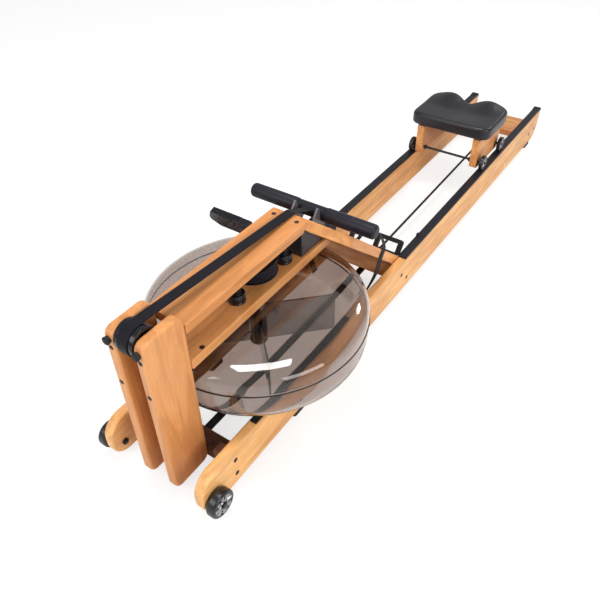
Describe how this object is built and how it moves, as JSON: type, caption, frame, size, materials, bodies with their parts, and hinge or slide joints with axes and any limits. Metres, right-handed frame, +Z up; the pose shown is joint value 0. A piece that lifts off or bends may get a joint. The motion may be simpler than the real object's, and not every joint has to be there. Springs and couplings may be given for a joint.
{
  "type": "water rowing machine",
  "caption": "Wooden rowing machine with a clear water tank and paddle, belt-driven handle, footboard with straps and a seat rolling on twin rails.",
  "frame": {"origin": "on the floor, under the middle of the machine's box", "axes": "+X to the machine's right seen from its front legs towards the seat, +Y from the front legs to the seat's end, +Z up"},
  "size_m": [0.535, 2.103, 0.4679],
  "materials": {
    "honey_wood": "satin oiled cherry or oak, honey orange",
    "shaded_wood": "dark stained satin wood",
    "track_plastic": "matt black running strip",
    "rubber": "matt black rubber",
    "tyre": "black moulded tyre with grey hub",
    "black_plastic": "moulded black plastic, light sheen",
    "black_steel": "black coated steel",
    "grey_block": "dark grey plastic block",
    "webbing": "black woven webbing",
    "cord": "black braided cord",
    "grip_rubber": "soft black foam rubber",
    "seat_vinyl": "dark grey black moulded seat skin, soft sheen",
    "smoky_plastic": "clear smoky polycarbonate, glossy",
    "paddle_plastic": "grey plastic",
    "screen": "plain grey display window"
  },
  "bodies": {
    "frame": {"rail_left": "honey_wood", "rail_right": "honey_wood", "rear_cross_board": "honey_wood", "foot_block": "honey_wood", "footboard": "honey_wood", "leg_left": "honey_wood", "leg_right": "honey_wood", "top_deck": "honey_wood", "lower_deck": "honey_wood", "front_cross_board": "shaded_wood", "track_left": "track_plastic", "track_right": "track_plastic", "foot_front_left": "rubber", "foot_front_right": "rubber", "foot_rear_left": "rubber", "foot_rear_right": "rubber", "rail_pad_left": "rubber", "rail_pad_right": "rubber", "bumper_left": "rubber", "bumper_right": "rubber", "tank_seal": "rubber", "heel_rest_left": "black_plastic", "heel_rest_right": "black_plastic", "handle_rest_left": "black_plastic", "handle_rest_right": "black_plastic", "monitor_arm": "black_plastic", "castor_bolt_left": "black_steel", "castor_bolt_right": "black_steel", "spine_bar": "black_steel", "pulley_axle": "black_steel", "rear_spacer": "grey_block", "foot_strap_left": "webbing", "foot_strap_right": "webbing", "drive_belt": "webbing", "bungee_cord": "cord", "tank_lower_shell": "smoky_plastic", "tank_upper_shell": "smoky_plastic"},
    "seat": {"seat_pad": "seat_vinyl", "seat_plate": "black_steel", "seat_board_left": "honey_wood", "seat_board_right": "honey_wood", "seat_axle_front": "black_steel", "seat_axle_rear": "black_steel"},
    "handle": {"handle_bar": "black_plastic", "handle_grip_left": "grip_rubber", "handle_grip_right": "grip_rubber"},
    "front_pulley": {"front_pulley": "black_plastic"},
    "drive_drum": {"drive_drum": "black_plastic"},
    "paddle": {"paddle": "paddle_plastic"},
    "bobbin_front": {"bobbin_front": "black_plastic"},
    "bobbin_rear": {"bobbin_rear": "black_plastic"},
    "castor_left": {"castor_left": "tyre"},
    "castor_right": {"castor_right": "tyre"},
    "monitor": {"monitor_case": "black_plastic", "monitor_screen": "screen"},
    "seat_wheel_front_left": {"seat_wheel_front_left": "tyre"},
    "seat_wheel_front_right": {"seat_wheel_front_right": "tyre"},
    "seat_wheel_rear_left": {"seat_wheel_rear_left": "tyre"},
    "seat_wheel_rear_right": {"seat_wheel_rear_right": "tyre"}
  },
  "joints": [
    {"name": "seat_slide", "type": "slide", "parent": "frame", "child": "seat", "axis": [0, 1, 0], "range_m": [-0.52, 0.39]},
    {"name": "seat_wheel_front_left_spin", "type": "hinge", "parent": "seat", "child": "seat_wheel_front_left", "pos_m": [-0.133, 0.449, 0.1566], "axis": [1, 0, 0], "range_deg": [-894, 1192]},
    {"name": "seat_wheel_front_right_spin", "type": "hinge", "parent": "seat", "child": "seat_wheel_front_right", "pos_m": [0.133, 0.449, 0.1566], "axis": [1, 0, 0], "range_deg": [-894, 1192]},
    {"name": "seat_wheel_rear_left_spin", "type": "hinge", "parent": "seat", "child": "seat_wheel_rear_left", "pos_m": [-0.133, 0.614, 0.1566], "axis": [1, 0, 0], "range_deg": [-894, 1192]},
    {"name": "seat_wheel_rear_right_spin", "type": "hinge", "parent": "seat", "child": "seat_wheel_rear_right", "pos_m": [0.133, 0.614, 0.1566], "axis": [1, 0, 0], "range_deg": [-894, 1192]},
    {"name": "handle_pull", "type": "slide", "parent": "frame", "child": "handle", "axis": [0, 0.986, 0.1668], "range_m": [0, 1.1], "stiffness_N_per_m": 15, "springref_m": -0.3, "deforming": ["drive_belt"]},
    {"name": "front_pulley_spin", "type": "hinge", "parent": "frame", "child": "front_pulley", "pos_m": [0, -1.0015, 0.433], "axis": [1, 0, 0], "range_deg": [-1854, 0]},
    {"name": "drive_drum_spin", "type": "hinge", "parent": "frame", "child": "drive_drum", "pos_m": [0, -0.6574, 0.357], "axis": [0, 0, 1], "range_deg": [0, 1229]},
    {"name": "bobbin_front_spin", "type": "hinge", "parent": "frame", "child": "bobbin_front", "pos_m": [0.012, -0.7344, 0.35], "axis": [0, 0, 1], "range_deg": [0, 1652]},
    {"name": "bobbin_rear_spin", "type": "hinge", "parent": "frame", "child": "bobbin_rear", "pos_m": [0.015, -0.5624, 0.35], "axis": [0, 0, 1], "range_deg": [-1652, 0]},
    {"name": "paddle_spin", "type": "hinge", "parent": "frame", "child": "paddle", "pos_m": [0, -0.6574, 0.2], "axis": [0, 0, 1], "continuous": true},
    {"name": "castor_left_spin", "type": "hinge", "parent": "frame", "child": "castor_left", "pos_m": [-0.162, -1.0175, 0.049], "axis": [1, 0, 0], "continuous": true},
    {"name": "castor_right_spin", "type": "hinge", "parent": "frame", "child": "castor_right", "pos_m": [0.162, -1.0175, 0.049], "axis": [1, 0, 0], "continuous": true},
    {"name": "monitor_tilt", "type": "hinge", "parent": "frame", "child": "monitor", "pos_m": [-0.1268, -0.5882, 0.41], "axis": [1, 0, 0], "range_deg": [-20, 30]}
  ],
  "couplings": [
    {"joint": "seat_wheel_front_left_spin", "follows": "seat_slide", "rad_per_m": -40},
    {"joint": "seat_wheel_front_right_spin", "follows": "seat_slide", "rad_per_m": -40},
    {"joint": "seat_wheel_rear_left_spin", "follows": "seat_slide", "rad_per_m": -40},
    {"joint": "seat_wheel_rear_right_spin", "follows": "seat_slide", "rad_per_m": -40},
    {"joint": "front_pulley_spin", "follows": "handle_pull", "rad_per_m": -29.41},
    {"joint": "drive_drum_spin", "follows": "handle_pull", "rad_per_m": 19.49},
    {"joint": "bobbin_front_spin", "follows": "handle_pull", "rad_per_m": 26.2},
    {"joint": "bobbin_rear_spin", "follows": "handle_pull", "rad_per_m": -26.2}
  ]
}
